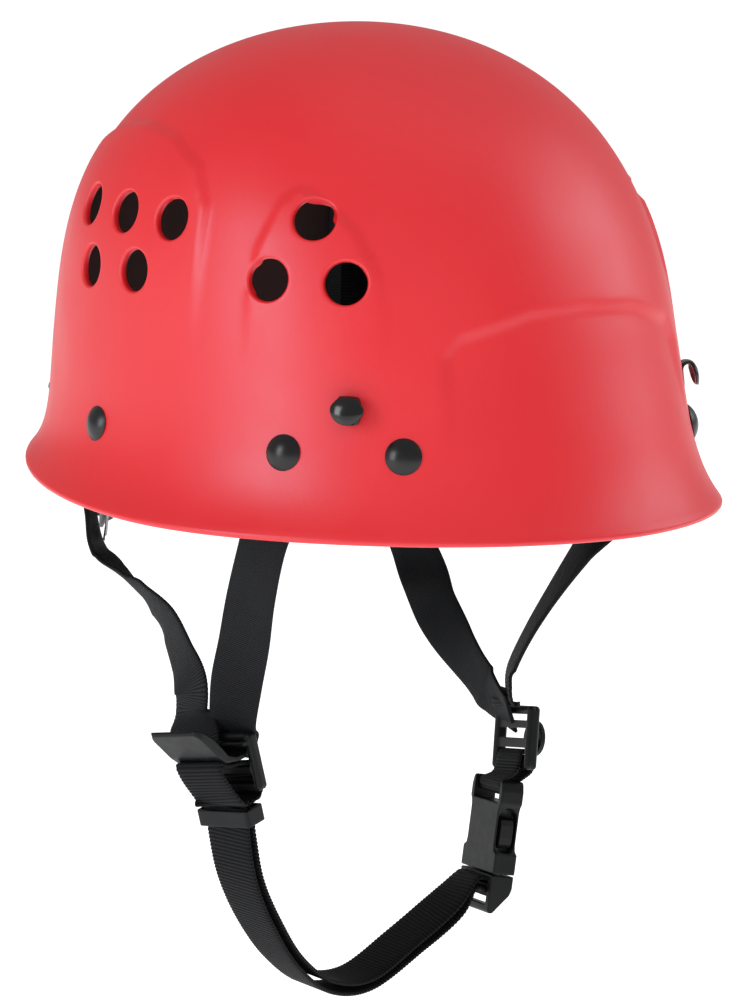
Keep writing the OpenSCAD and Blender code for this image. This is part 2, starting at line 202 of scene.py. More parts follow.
def shell_plastic():
    """Satin red shell: a fine even grain that spreads the highlights."""
    shader = Shader("shell_red")
    grain = shader.noise(1250.0, 2, 0.65)
    slow = shader.noise(14.0, 3)
    tone = shader.ramp(slow, (0.735, 0.009, 0.011), (0.760, 0.013, 0.014))
    speck = shader.ramp(grain, 0.0, 1.0, 0.3, 0.7)
    tone = shader.mix(shader.math("MULTIPLY", speck, 0.06), tone, (0.78, 0.05, 0.06))
    gloss = shader.math("ADD", shader.ramp(shader.noise(55.0, 5), 0.38, 0.43),
                        shader.math("MULTIPLY", grain, 0.04))
    shader.bump(grain, 0.22, 0.00016)
    return shader.finish(Base_Color=tone, Roughness=gloss, Specular_IOR_Level=0.8,
                         Specular_Tint=(0.3, 0.85, 1.0, 1.0))


def shell_inside_painted_shade():
    shader = Shader("shell_inside_painted_shade")
    grain = shader.noise(900.0, 2)
    # Painted shade: the inside is the same red plastic as the outside, darkened to near black as if the
    # interior were unlit.
    tone = shader.ramp(shader.noise(30.0, 4), (0.022, 0.003, 0.003), (0.030, 0.004, 0.004))
    shader.bump(grain, 0.15, 0.0002)
    return shader.finish(Base_Color=tone, Roughness=0.7, Specular_IOR_Level=0.3)


def webbing_cloth(name, pitch, dark=(0.0015, 0.0015, 0.0018), light=(0.0105, 0.011, 0.0125)):
    """Polyester webbing. UVs are millimetres: U across, V along; ribs have the given pitch. Its tone is
    painted shade: lighter on the rib crests and yarn tops, darker in the valleys between them.
    """
    shader = Shader(name)
    uv = shader.node("ShaderNodeUVMap").outputs["UV"]
    parts = shader.node("ShaderNodeSeparateXYZ", Vector=uv)
    across, along = parts.outputs["X"], parts.outputs["Y"]
    rib = shader.math("ABSOLUTE", shader.math("SINE", shader.math("MULTIPLY", along, math.pi / pitch)))
    # Warp yarns cross each rib as short slanted stitches
    slant = shader.math("ADD", across, shader.math("MULTIPLY", along, 0.35))
    yarn = shader.math("ABSOLUTE", shader.math("SINE", shader.math("MULTIPLY", slant, math.pi / 0.62)))
    wool = shader.noise(2600.0, 3, 0.6)
    height = shader.math("ADD", shader.math("MULTIPLY", yarn, 0.7), shader.math("MULTIPLY", wool, 0.35))
    # Painted shade: the tone follows the relief, dark in the rib valleys and between the yarns, light on
    # their crests.
    level = shader.math("MULTIPLY", rib, shader.math("ADD", shader.math("MULTIPLY", yarn, 0.55), 0.45))
    tone = shader.mix(level, dark, light)
    worn = shader.ramp(shader.noise(45.0, 4), 0.82, 1.0)
    tone = shader.mix(1.0, tone, worn, "MULTIPLY")
    shader.bump(height, 0.5, 0.00018)
    rough = shader.ramp(level, 0.72, 0.52, 0.0, 1.0)
    return shader.finish(Base_Color=tone, Roughness=rough, Sheen_Weight=0.02,
                         Sheen_Roughness=0.45, Specular_IOR_Level=0.10)


def knitted(name, dark, light):
    """Knitted cover of the pads: small loops under a slight nap."""
    shader = Shader(name)
    where = shader.node("ShaderNodeTexCoord").outputs["Object"]
    loops = shader.node("ShaderNodeTexVoronoi", Scale=1100.0, Vector=where)
    nap = shader.noise(2400.0, 4, 0.6)
    height = shader.math("ADD", shader.math("MULTIPLY", loops.outputs["Distance"], -0.8),
                         shader.math("MULTIPLY", nap, 0.4))
    tone = shader.ramp(shader.noise(90.0, 5), dark, light)
    shader.bump(height, 0.6, 0.0003)
    return shader.finish(Base_Color=tone, Roughness=0.88, Sheen_Weight=0.10, Sheen_Roughness=0.5)


def label_cloth():
    shader = Shader("label_cloth")
    wave = shader.node("ShaderNodeTexWave", Scale=900.0, Distortion=0.6)
    wave.bands_direction = "Z"
    tone = shader.ramp(shader.noise(200.0, 3), (0.56, 0.56, 0.55), (0.66, 0.66, 0.65))
    shader.bump(wave.outputs["Fac"], 0.3, 0.0001)
    return shader.finish(Base_Color=tone, Roughness=0.75, Sheen_Weight=0.1)


MATERIALS = {
    "shell": shell_plastic(),
    # inside: painted shade, the red inner skin darkened as if unlit
    "inside": shell_inside_painted_shade(),
    "rivet": moulded("rivet_black", (0.004, 0.004, 0.0045), (0.009, 0.009, 0.010), 0.30, bump=0.03,
                     specular=0.45, patches=25.0),
    "washer": moulded("washer_nylon", (0.030, 0.030, 0.033), (0.050, 0.050, 0.054), 0.5),
    "clip": moulded("clip_steel", (0.002, 0.002, 0.002), (0.005, 0.005, 0.005), 0.18, bump=0.02,
                    specular=0.55, patches=25.0),
    "hard": moulded("hard_plastic", (0.0045, 0.005, 0.0055), (0.0085, 0.009, 0.010), 0.40, 1900.0, 0.20,
                     specular=0.2),
    "band": moulded("band_plastic", (0.006, 0.006, 0.007), (0.011, 0.011, 0.012), 0.47, 1300.0, 0.18,
                     specular=0.25),
    "fine": webbing_cloth("webbing_fine", 0.85, light=(0.023, 0.024, 0.026)),
    "coarse": webbing_cloth("webbing_coarse", 1.55),
    "cradle": webbing_cloth("webbing_cradle", 1.2),
    "pad": knitted("pad_knit", (0.010, 0.010, 0.011), (0.022, 0.022, 0.024)),
    "label": label_cloth(),
}


# --- mesh helpers
def mesh_object(name, points, faces, materials, uvs=None):
    """A smooth-shaded mesh from points in millimetres."""
    mesh = bpy.data.meshes.new(name)
    mesh.from_pydata((np.asarray(points, float) * MM).tolist(), [], faces)
    if uvs is not None:
        layer = mesh.uv_layers.new(name="UVMap")
        loops = np.zeros(len(mesh.loops), np.int32)
        mesh.loops.foreach_get("vertex_index", loops)
        layer.data.foreach_set("uv", np.asarray(uvs, np.float32)[loops].ravel())
    return finish_mesh(name, mesh, materials)


def finish_mesh(name, mesh, materials):
    made = bpy.data.objects.new(name, mesh)
    bpy.context.scene.collection.objects.link(made)
    return dressed(made, materials)


def dressed(made, materials):
    """Smooth shading and the named materials on an object."""
    made.data.polygons.foreach_set("use_smooth", [True] * len(made.data.polygons))
    made.data.materials.clear()
    for m in materials:
        made.data.materials.append(MATERIALS[m])
    return made


def vertex_rows(mesh, what="co"):
    """The places or the normals of a mesh's vertices, one row each."""
    flat = np.zeros(len(mesh.vertices) * 3, np.float32)
    mesh.vertices.foreach_get(what, flat)
    return flat.reshape(-1, 3)


def apply_modifiers(made):
    """Replaces the object's mesh with its evaluated one, so that the final vertices are its own."""
    bpy.context.view_layer.update()
    depsgraph = bpy.context.evaluated_depsgraph_get()
    mesh = bpy.data.meshes.new_from_object(made.evaluated_get(depsgraph))
    made.modifiers.clear()
    made.data = mesh
    return made


def place(piece, body, slot, *nodes):
    """The piece rides on the body and stands for the CAD nodes, which it hides. The slot is not used."""
    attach(piece, body)
    if nodes:
        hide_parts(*nodes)
    return piece


def spans(piece, bodies, start, end, slot, *nodes):
    """The piece keeps its place, baked into its mesh, and stands for the CAD nodes, which it hides. The
    bodies, start and end are not used.
    """
    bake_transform(piece)
    if nodes:
        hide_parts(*nodes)


def turned(origin, z_turn, x_turn=0.0, y_turn=0.0):
    """A local frame, as translate(origin) rotate z rotate([x, y, 0]) gives it in the CAD source."""
    return (Matrix.Translation(Vector(origin)) @ Matrix.Rotation(math.radians(z_turn), 4, "Z")
            @ Matrix.Rotation(math.radians(y_turn), 4, "Y") @ Matrix.Rotation(math.radians(x_turn), 4, "X"))


def catmull(rows, per_span=24):
    """A dense Catmull-Rom curve through rows of numbers."""
    rows = np.asarray(rows, float)
    ends = np.vstack([2 * rows[0] - rows[1], rows, 2 * rows[-1] - rows[-2]])
    u = np.linspace(0, 1, per_span, endpoint=False)[:, None]
    spans = []
    for a, b, c, d in zip(ends, ends[1:], ends[2:], ends[3:]):
        spans.append(0.5 * (2 * b + (c - a) * u + (2 * a - 5 * b + 4 * c - d) * u**2
                            + (3 * b - a - 3 * c + d) * u**3))
    return np.vstack(spans + [rows[-1:]])


def even(rows, step):
    """The same curve with its points a step apart along it. Columns 0 to 2 are the place."""
    length = np.concatenate([[0], np.cumsum(np.linalg.norm(np.diff(rows[:, :3], axis=0), axis=1))])
    count = max(2, int(round(length[-1] / step)) + 1)
    stations = np.linspace(0, length[-1], count)
    columns = [np.interp(stations, length, column) for column in rows.T]
    return np.stack(columns, axis=1), stations


def unit(v):
    return v / np.maximum(np.linalg.norm(v, axis=-1, keepdims=True), 1e-9)


def section(width, thick, flat=7, corner=3):
    """A flat strip's cross-section: (across, out, side), side being the place's outward direction."""
    r = thick / 2
    half = width / 2 - r
    rows = [(x, r, 0.0, 1.0) for x in np.linspace(-half, half, flat)]
    for k in range(1, corner + 1):
        a = math.pi / 2 - math.pi * k / (corner + 1)
        rows.append((half + r * math.cos(a), r * math.sin(a), math.cos(a), math.sin(a)))
    rows += [(x, -r, 0.0, -1.0) for x in np.linspace(half, -half, flat)]
    for k in range(1, corner + 1):
        a = -math.pi / 2 - math.pi * k / (corner + 1)
        rows.append((-half + r * math.cos(a), r * math.sin(a), math.cos(a), math.sin(a)))
    return np.array(rows)


def strip(name, rows, materials, width=20.0, thick=1.6, pitch=0.85, rib=0.13, per_rib=4, square=1.0):
    """A strap swept along rows of [x, y, z, wx, wy, wz], w being the direction of its width.
    Half-round ribs of the given pitch cross both faces and wrap round the edges. A seventh column scales
    the width and an eighth bows the section outwards. With square below 1 the ribs may run slantwise."""
    path, along = even(catmull(rows), pitch / per_rib)
    centre, width_dir = path[:, :3], path[:, 3:6]
    tangent = unit(np.gradient(centre, axis=0))
    width_dir = unit(width_dir - square * (width_dir * tangent).sum(1, keepdims=True) * tangent)
    out = unit(np.cross(tangent, width_dir))
    scale = path[:, 6] if path.shape[1] > 6 else np.ones(len(path))
    bow = path[:, 7] if path.shape[1] > 7 else np.zeros(len(path))
    profile = section(width, thick)
    swell = rib * (np.abs(np.sin(math.pi * along / pitch)) - 1.0)
    points = []
    around = np.concatenate([[0], np.cumsum(np.linalg.norm(np.diff(profile[:, :2], axis=0), axis=1))])
    for x, y, nx, ny in profile:
        lift = y + swell * ny - bow * (2 * x / width) ** 2
        points.append(centre + width_dir * (x * scale + swell * nx)[:, None] + out * lift[:, None])
    points = np.stack(points, axis=1)
    count, ring = points.shape[:2]
    uvs = np.stack([np.tile(around, (count, 1)), np.tile(along[:, None], (1, ring))], axis=2)
    faces = [(i * ring + k, i * ring + (k + 1) % ring, (i + 1) * ring + (k + 1) % ring, (i + 1) * ring + k)
             for i in range(count - 1) for k in range(ring)]
    faces += [tuple(range(ring))[::-1], tuple((count - 1) * ring + k for k in range(ring))]
    return mesh_object(name, points.reshape(-1, 3), faces, materials, uvs.reshape(-1, 2))


def headed(rows):
    """Route rows [x, y, z, heading of the width in degrees] as [x, y, z, wx, wy, 0]."""
    return [[x, y, z, math.cos(math.radians(h)), math.sin(math.radians(h)), 0.0] for x, y, z, h in rows]


def lathe(name, profile, frames, materials, around=40):
    """A round piece: profile rows [radius, height] turned about Z, repeated at each local frame."""
    points, faces = [], []
    for local in frames:
        first = len(points)
        for r, z in profile:
            for k in range(around):
                a = 2 * math.pi * k / around
                points.append(local @ Vector((r * math.cos(a), r * math.sin(a), z)))
        rows = len(profile)
        for j in range(rows - 1):
            for k in range(around):
                a, b = first + j * around + k, first + j * around + (k + 1) % around
                faces.append((a, b, b + around, a + around))
        faces.append(tuple(first + k for k in range(around))[::-1])
        faces.append(tuple(first + (rows - 1) * around + k for k in range(around)))
    return mesh_object(name, [tuple(p) for p in points], faces, materials)


class Moulding:
    """A moulded piece: solids are added and cut in a local frame, fused, and given soft edges."""

    def __init__(self, name, local):
        self.name, self.local = name, local
        self.body, self.cuts = bmesh.new(), bmesh.new()

    def box(self, low, high, cut=False):
        """A box between two opposite corners."""
        low, high = Vector(map(min, low, high)), Vector(map(max, low, high))
        shape = Matrix.Translation((low + high) / 2) @ Matrix.Diagonal((*(high - low), 1))
        bmesh.ops.create_cube(self.cuts if cut else self.body, size=1, matrix=shape)

    def bar(self, start, end, radius, cut=False, around=32, ball=False):
        """A round bar from start to end, with ball ends if asked."""
        start, end = Vector(start), Vector(end)
        turn = (end - start).to_track_quat("Z", "Y").to_matrix().to_4x4()
        target = self.cuts if cut else self.body
        middle = Matrix.Translation((start + end) / 2)
        bmesh.ops.create_cone(target, cap_ends=True, segments=around, radius1=radius, radius2=radius,
                              depth=(end - start).length, matrix=middle @ turn)
        for p in (start, end) if ball else ():
            bmesh.ops.create_uvsphere(target, u_segments=around, v_segments=around // 2, radius=radius,
                                      matrix=Matrix.Translation(p))

    def slab(self, outline, low, high, axes="xy", cut=False):
        """An outline in the plane of two axes, extruded from low to high along the third."""
        third = ({"x", "y", "z"} - set(axes)).pop()
        order = [(*axes, third).index(a) for a in "xyz"]
        target = self.cuts if cut else self.body
        ends = []
        for level in (low, high):
            corners = [[(u, v, level)[k] for k in order] for u, v in outline]
            ends.append([target.verts.new(c) for c in corners])
        n = len(outline)
        made = [target.faces.new(ends[0]), target.faces.new(ends[1][::-1])]
        made += [target.faces.new((ends[0][k], ends[1][k], ends[1][(k + 1) % n], ends[0][(k + 1) % n]))
                 for k in range(n)]
        bmesh.ops.recalc_face_normals(target, faces=made)

    def done(self, materials, voxel=0.35, smooth=4):
        objects = []
        for part in (self.body, self.cuts):
            mesh = bpy.data.meshes.new(self.name)
            part.to_mesh(mesh)
            objects.append(bpy.data.objects.new(self.name, mesh))
            bpy.context.scene.collection.objects.link(objects[-1])
        made, cutter = objects
        fuse = made.modifiers.new("fuse", "REMESH")
        fuse.mode, fuse.voxel_size = "VOXEL", voxel * 0.6
        if len(self.cuts.verts):
            cut = made.modifiers.new("cut", "BOOLEAN")
            cut.operation, cut.object, cut.solver = "DIFFERENCE", cutter, "EXACT"
            cut.use_self = True
            again = made.modifiers.new("even", "REMESH")
            again.mode, again.voxel_size = "VOXEL", voxel
        soften = made.modifiers.new("soften", "SMOOTH")
        soften.iterations, soften.factor = smooth, 0.5
        apply_modifiers(made)
        bpy.data.objects.remove(cutter)
        made.data.transform(Matrix.Scale(MM, 4) @ self.local)
        return dressed(made, materials)


def arc(centre, radius, start, end, count=8):
    """Points of an arc, angles in degrees."""
    return [(centre[0] + radius * math.cos(math.radians(start + (end - start) * k / count)),
             centre[1] + radius * math.sin(math.radians(start + (end - start) * k / count)))
            for k in range(count + 1)]


def rounded_rect(low, high, r):
    (x0, y0), (x1, y1) = low, high
    return (arc((x1 - r, y1 - r), r, 0, 90) + arc((x0 + r, y1 - r), r, 90, 180)
            + arc((x0 + r, y0 + r), r, 180, 270) + arc((x1 - r, y0 + r), r, 270, 360))


# --- the dome's surface
HEIGHT, FRONT, REAR, SIDE = 166.3, 131.4, 122.2, 106.8
WALL, FLARE, POWER = 2.75, 14.7, 2.1


def dome(phi, z, inset=0.0):
    """Points of the CAD dome at angles phi in degrees from the brow and heights z, moved in by inset."""
    phi, z = np.broadcast_arrays(np.asarray(phi, float), np.asarray(z, float))
    c, s = np.cos(np.radians(phi)), np.sin(np.radians(phi))
    t = np.clip(z / (HEIGHT - inset), 0, 1)
    brow = c > 0
    spread = FLARE + 3.5 * c - np.where(brow, 3.5 * np.sin(np.radians(2 * phi)) ** 2, 0)
    flare = spread * np.exp(-(z + 3.4 * (1 - np.abs(c))) / (13.2 + 6.6 * c)) - inset
    fade = np.minimum(1, (1 - t) * 6)
    a = np.where(brow, FRONT, REAR) * np.sqrt(1 - t ** np.where(brow, 2.15, 2.9)) + flare * fade
    b = SIDE * np.sqrt(1 - t**4.1) + flare * fade
    a, b = np.maximum(a, 0.01), np.maximum(b, 0.01)
    r = ((np.abs(c) / a) ** POWER + (np.abs(s) / b) ** POWER) ** (-1 / POWER)
    return np.stack([r * s, -r * c, z], axis=-1)


def rim(phi):
    c, s = np.cos(np.radians(phi)), np.sin(np.radians(phi))
    return -3.7 * c + 3.4 * np.cos(np.radians(2 * np.asarray(phi))) + 1.2 * np.maximum(c, 0) * np.abs(s)


def dome_normal(phi, z):
    east = dome(phi + 1, z) - dome(phi - 1, z)
    north = dome(phi, z + 1) - dome(phi, z - 1)
    return unit(np.cross(east, north))


def on_shell(phi, z):
    """The local frame that the CAD source uses on the shell: Z outwards, Y uphill."""
    n = dome_normal(phi, z)
    tilt, lead = math.acos(n[2]), math.atan2(n[1], n[0])
    return (Matrix.Translation(Vector(dome(phi, z))) @ Matrix.Rotation(lead, 4, "Z")
            @ Matrix.Rotation(tilt, 4, "Y") @ Matrix.Rotation(math.pi / 2, 4, "Z"))


def smoothstep(x):
    x = np.clip(x, 0, 1)
    return x * x * (3 - 2 * x)


MM_PER_DEGREE = 1.9
# Cores of the raised vent pods and of the sunk brow panel: [angle from the brow, height]
FRONT_POD = [(61.5, 40), (62.0, 76), (61.0, 92), (57.5, 107), (54.5, 111), (49.5, 107.5), (43.5, 98),
             (39.5, 84), (38.5, 70), (38.5, 40)]
REAR_POD = [(136, 40), (137, 90), (135, 108), (130, 119), (119, 125.5), (104, 127.5), (91, 124.5),
            (80, 116), (75.5, 104), (75, 88), (75, 40)]
BROW_PANEL = [(-26.5, 10), (-26.5, 58), (-24.5, 63), (-12, 70.3), (0, 72), (12, 70.3), (24.5, 63),
              (26.5, 58), (26.5, 10)]


def distance_outside(x, y, outline):
    """How far each point lies outside a closed outline, 0 inside it."""
    ox, oy = np.array(outline, float).T
    nearest = np.full(x.shape, 1e9)
    inside = np.zeros(x.shape, bool)
    for ax, ay, bx, by in zip(ox, oy, np.roll(ox, -1), np.roll(oy, -1)):
        ex, ey = bx - ax, by - ay
        u = np.clip(((x - ax) * ex + (y - ay) * ey) / (ex * ex + ey * ey), 0, 1)
        nearest = np.minimum(nearest, np.hypot(x - ax - u * ex, y - ay - u * ey))
        crosses = (ay > y) != (by > y)
        with np.errstate(divide="ignore", invalid="ignore"):
            inside ^= crosses & (x < ax + (y - ay) * ex / (by - ay))
    return np.where(inside, 0.0, nearest)


def relief(phi, z):
    """Height of the moulded pods over the dome, and depth of the brow panel, in millimetres."""
    phi = (np.asarray(phi) + 180) % 360 - 180
    x = phi * MM_PER_DEGREE
    out = np.zeros(x.shape)
    for core, low, high, tall, shoulder in ((FRONT_POD, 45, 104, 1.6, 3.2), (REAR_POD, 50, 118, 1.8, 3.4)):
        away = distance_outside(np.abs(x), z, [(p * MM_PER_DEGREE, q) for p, q in core])
        out += tall * smoothstep((z - low) / (high - low)) * smoothstep(1 - away / shoulder)
    away = distance_outside(x, z, [(p * MM_PER_DEGREE, q) for p, q in BROW_PANEL])
    out -= 1.8 * smoothstep((z - 24) / 34) * smoothstep(1 - away / 5)
    return out


VENTS = [(51, 103), (59, 82), (44.5, 82.5), (113, 99), (98, 99), (83, 99), (108, 78), (92, 79.5)]
VENT_R = 7.5
AROUND, RINGS = 360, 140
PATCH_I, PATCH_J = 7, 6


def ring_height(phi, j):
    low = rim(phi)
    return low + (HEIGHT - low) * np.sin(math.pi / 2 * np.asarray(j) / RINGS)


def vent_patch(phi, z):
    """The block of grid cells round a vent: its centre column and row, and its border in order."""
    i0 = int(round(phi / (360 / AROUND))) % AROUND
    j0 = int(np.argmin(np.abs(ring_height(phi, np.arange(RINGS)) - z)))
    border = [(k, -PATCH_J) for k in range(-PATCH_I, PATCH_I)]
    border += [(PATCH_I, k) for k in range(-PATCH_J, PATCH_J)]
    border += [(k, PATCH_J) for k in range(PATCH_I, -PATCH_I, -1)]
    border += [(-PATCH_I, k) for k in range(PATCH_J, -PATCH_J, -1)]
    return i0, j0, [((i0 + a) % AROUND, j0 + b) for a, b in border]


def vent_ring(phi, z, border, radius):
    """Surface coordinates of a circle about a vent, one point for each border vertex."""
    centre = dome(phi, z)
    east = unit(dome(phi + 1, z) - dome(phi - 1, z))
    north = np.cross(dome_normal(phi, z), east)
    d_phi = (dome(phi + 0.5, z) - dome(phi - 0.5, z)) @ east
    d_z = (dome(phi, z + 0.5) - dome(phi, z - 0.5)) @ north
    offset = dome(border[:, 0], border[:, 1]) - centre
    aimed = np.unwrap(np.arctan2(offset @ north, offset @ east))
    evenly = aimed[0] + np.arange(len(border)) * 2 * math.pi / len(border)
    angle = evenly + (aimed - evenly).mean() + 0.35 * (aimed - evenly - (aimed - evenly).mean())
    want = np.stack([radius * np.cos(angle), radius * np.sin(angle)], axis=1)
    at = np.stack([phi + want[:, 0] / d_phi, z + want[:, 1] / d_z], axis=1)
    for _ in range(4):
        got = dome(at[:, 0], at[:, 1]) - centre
        at += np.stack([(want[:, 0] - got @ east) / d_phi, (want[:, 1] - got @ north) / d_z], axis=1)
    return at


def vertex_normals(points, faces):
    mesh = bpy.data.meshes.new("scratch")
    mesh.from_pydata(points.tolist(), [], faces)
    normals = vertex_rows(mesh, "normal").astype(float)
    bpy.data.meshes.remove(mesh)
    return normals


def shell_skin():
    """Surface coordinates, faces and each vent's innermost ring of the shell's outer skin."""
    step = 360 / AROUND
    phis = np.arange(AROUND) * step
    coords = [np.stack([phis, ring_height(phis, j)], axis=1) for j in range(RINGS)]
    coords = [tuple(c) for ring in coords for c in ring] + [(0.0, HEIGHT)]
    apex = AROUND * RINGS
    removed, faces, mouths = set(), [], []
    for side in SIDES:
        for phi, z in VENTS:
            i0, j0, border = vent_patch(side * phi, z)
            cells = {((i0 + a) % AROUND, j0 + b) for a in range(-PATCH_I, PATCH_I)
                     for b in range(-PATCH_J, PATCH_J)}
            if cells & removed:
                raise ValueError(f"vent patches overlap at {side * phi}, {z}")
            removed |= cells
            last = [j * AROUND + i for i, j in border]
            border_at = np.array([coords[v] for v in last])
            border_at[:, 0] = side * phi + (border_at[:, 0] - side * phi + 180) % 360 - 180
            circle = vent_ring(side * phi, z, border_at, VENT_R + 0.9)
            for share in (0.3, 0.6, 0.85, 1.0):
                first = len(coords)
                coords += [tuple(c) for c in border_at + (circle - border_at) * share]
                ring = list(range(first, len(coords)))
                n = len(ring)
                faces += [(last[k], last[(k + 1) % n], ring[(k + 1) % n], ring[k]) for k in range(n)]
                last = ring
            mouths.append((side * phi, z, last))
    for j in range(RINGS - 1):
        for i in range(AROUND):
            if (i, j) not in removed:
                a, b = j * AROUND + i, j * AROUND + (i + 1) % AROUND
                faces.append((a, b, b + AROUND, a + AROUND))
    top = (RINGS - 1) * AROUND
    faces += [(top + i, top + (i + 1) % AROUND, apex) for i in range(AROUND)]
    return np.array(coords), faces, mouths, apex


def ring_faces(first, second):
    """Quads between two closed rings of vertex numbers."""
    n = len(first)
    return [(first[k], first[(k + 1) % n], second[(k + 1) % n], second[k]) for k in range(n)]


def shell():
    coords, faces, mouths, apex = shell_skin()
    outer = dome(coords[:, 0], coords[:, 1])
    outer[apex] = (0, 0, HEIGHT)
    raised = relief(coords[:, 0], coords[:, 1])
    raised[apex] = 0
    outer += vertex_normals(outer, faces) * raised[:, None]
    normals = vertex_normals(outer, faces)
    if normals[apex][2] < 0:
        faces = [f[::-1] for f in faces]
        normals = -normals
    inner = outer - normals * WALL
    count = len(outer)
    points = [outer, inner]
    total = 2 * count
    lining = [tuple(v + count for v in f[::-1]) for f in faces]

    def add(rows):
        nonlocal total
        points.append(np.asarray(rows))
        ring = list(range(total, total + len(rows)))
        total += len(rows)
        return ring

    edge_faces = []
    for phi, z, ring in mouths:
        axis = dome_normal(phi, z)
        middle = outer[ring].mean(axis=0)
        radial = outer[ring] - middle
        radial = unit(radial - (radial @ axis)[:, None] * axis)
        last = ring
        for inwards, down in ((0.25, 0.06), (0.55, 0.25), (0.8, 0.55), (0.9, 0.95)):
            new = add(outer[ring] - radial * inwards - axis * down)
            edge_faces += ring_faces(last, new)
            last = new
        deep = inner[ring]
        for inwards, up in ((0.9, 0.6), (0.75, 0.25), (0.35, 0.05)):
            new = add(deep - radial * inwards + axis * up)
            edge_faces += ring_faces(last, new)
            last = new
        edge_faces += ring_faces(last, [v + count for v in ring])
    # The rim: a rounded lip between the two skins
    row = list(range(AROUND))
    down = unit(outer[row] - outer[[v + AROUND for v in row]])
    n = normals[row]
    down = unit(down - (down * n).sum(1, keepdims=True) * n)
    middle = outer[row] - n * WALL / 2
    last = row
    for k in range(1, 6):
        a = math.pi * k / 6
        new = add(middle + (n * math.cos(a) + down * math.sin(a)) * WALL / 2)
        edge_faces += [f[::-1] for f in ring_faces(last, new)]
        last = new
    edge_faces += [f[::-1] for f in ring_faces(last, [v + count for v in row])]
    every = faces + edge_faces + lining
    # The lining takes the inside material, whose near-black tone is painted shade.
    made = mesh_object("shell_visual", np.vstack(points), every, ["shell", "inside"])
    index = np.zeros(len(every), np.int32)
    index[len(faces) + len(edge_faces):] = 1
    made.data.polygons.foreach_set("material_index", index)
    work = bmesh.new()
    work.from_mesh(made.data)
    bmesh.ops.recalc_face_normals(work, faces=work.faces)
    work.to_mesh(made.data)
    work.free()
    place(made, "helmet", "shell", "shell")


# --- fasteners on the shell
RIVETS = [(34.5, 25.5), (54, 24), (100.5, 22.5), (148, 20)]


def rivet_frames():
    return [on_shell(side * phi, z) for side in SIDES for phi, z in RIVETS]


def rivets():
    head_r, cap = 6.25, 2.4
    curve = (head_r**2 + cap**2) / (2 * cap)
    dome_rows = []
    for k in range(11):
        r = head_r * math.sin(math.radians(90 * (1 - k / 10))) if k else head_r
        dome_rows.append((max(r, 0.02), 0.35 + cap - curve + math.sqrt(curve**2 - r**2)))
    shank = [(3.35, -7.9), (3.4, -7.7), (3.4, -6.95), (2.4, -6.85), (2.4, -0.1), (5.7, -0.1), (6.15, 0.05),
             (6.35, 0.3)]
    made = lathe("rivets_visual", shank + dome_rows, rivet_frames(), ["rivet"])
    place(made, "helmet", "rivet", "rivets")
    washer = [(2.6, -6.55), (5.2, -6.55), (5.5, -6.35), (5.5, -5.9), (5.2, -5.7), (2.6, -5.65), (2.5, -5.8),
              (2.5, -6.4)]
    ring = lathe("rivet_washers_visual", washer, rivet_frames(), ["washer"])
    place(ring, "helmet", "washer", "rivet_washers")


def lamp_clips(name, phi, z):
    """Sprung hooks: a foot on the shell, an arch at its uphill end and a round outer plate."""
    # Along the middle line: uphill, out, share of the width, bow
    line = [(-5.2, 0.95, 0.15, 0), (-4.9, 0.95, 0.42, 0), (-4, 0.95, 0.60, 0), (-2, 0.95, 0.68, 0),
            (1, 0.95, 0.68, 0), (3.0, 1.3, 0.64, 0), (4.2, 2.6, 0.60, 0.1), (4.4, 4.3, 0.58, 0.3),
            (3.9, 5.5, 0.62, 0.6), (3.0, 6.2, 0.80, 1.0), (1.6, 6.8, 0.97, 1.4), (0.2, 7.1, 1.0, 1.5),
            (-1.2, 7.2, 0.97, 1.4), (-2.6, 7.1, 0.86, 1.2), (-3.8, 6.9, 0.66, 0.8), (-4.6, 6.7, 0.42, 0.4),
            (-4.9, 6.6, 0.15, 0)]
    meshes = []
    for side in SIDES:
        local = on_shell(side * phi, z)
        across = local.to_3x3() @ Vector((1, 0, 0))
        rows = [[*(local @ Vector((0, y, out))), *across, share, bow] for y, out, share, bow in line]
        meshes.append(strip(name, rows, ["clip"], width=11.8, thick=1.1, pitch=0.4, rib=0.0, per_rib=1))
    made = meshes[0]
    join_into(made, meshes[1:])
    place(made, "helmet", "clip", name.replace("_visual", ""))


def join_into(made, others):
    work = bmesh.new()
    for o in [made, *others]:
        work.from_mesh(o.data)
    work.to_mesh(made.data)
    work.free()
    for o in others:
        bpy.data.objects.remove(o)
    made.data.polygons.foreach_set("use_smooth", [True] * len(made.data.polygons))


# --- cradle and headband
CRADLE_RISE = 98.0


def arc_rows(phi, reach, low, heading):
    """Rows of a quarter arch at an angle from the brow, from its foot towards the top."""
    rows = []
    for k in range(6):
        turn = math.pi / 2 * k / 6
        r = reach * math.cos(turn)
        rows.append([r * math.sin(math.radians(phi)), -r * math.cos(math.radians(phi)),
                     low + CRADLE_RISE * math.sin(turn), heading])
    return rows


def cradle_strap(name, phi_a, reach_a, phi_b, reach_b, drop, heading):
    rows = arc_rows(phi_a, reach_a, 34 - drop, heading) + arc_rows(phi_b, reach_b, 34 - drop, heading)[::-1]
    made = strip(name + "_visual", headed(rows), ["cradle"], thick=1.2, pitch=1.2, rib=0.12)
    place(made, "helmet", "webbing", name)


def band_point(phi, off):
    return ((82 + off) * math.sin(math.radians(phi)), -(99 + off) * math.cos(math.radians(phi)))


def on_edge(start, end, off, z, count=24):
    """Rows of a strip that stands on edge round the head, from one angle to another."""
    phis = [start + (end - start) * k / count for k in range(count + 1)]
    return [[*band_point(phi, off), z, 0, 0, 1] for phi in phis]


def headband():
    made = strip("headband_visual", on_edge(-128, 128, 0.9, 18), ["band"], width=32, thick=1.8, pitch=1.6,
                 rib=0.0, per_rib=1)
    place(made, "helmet", "band", "headband")


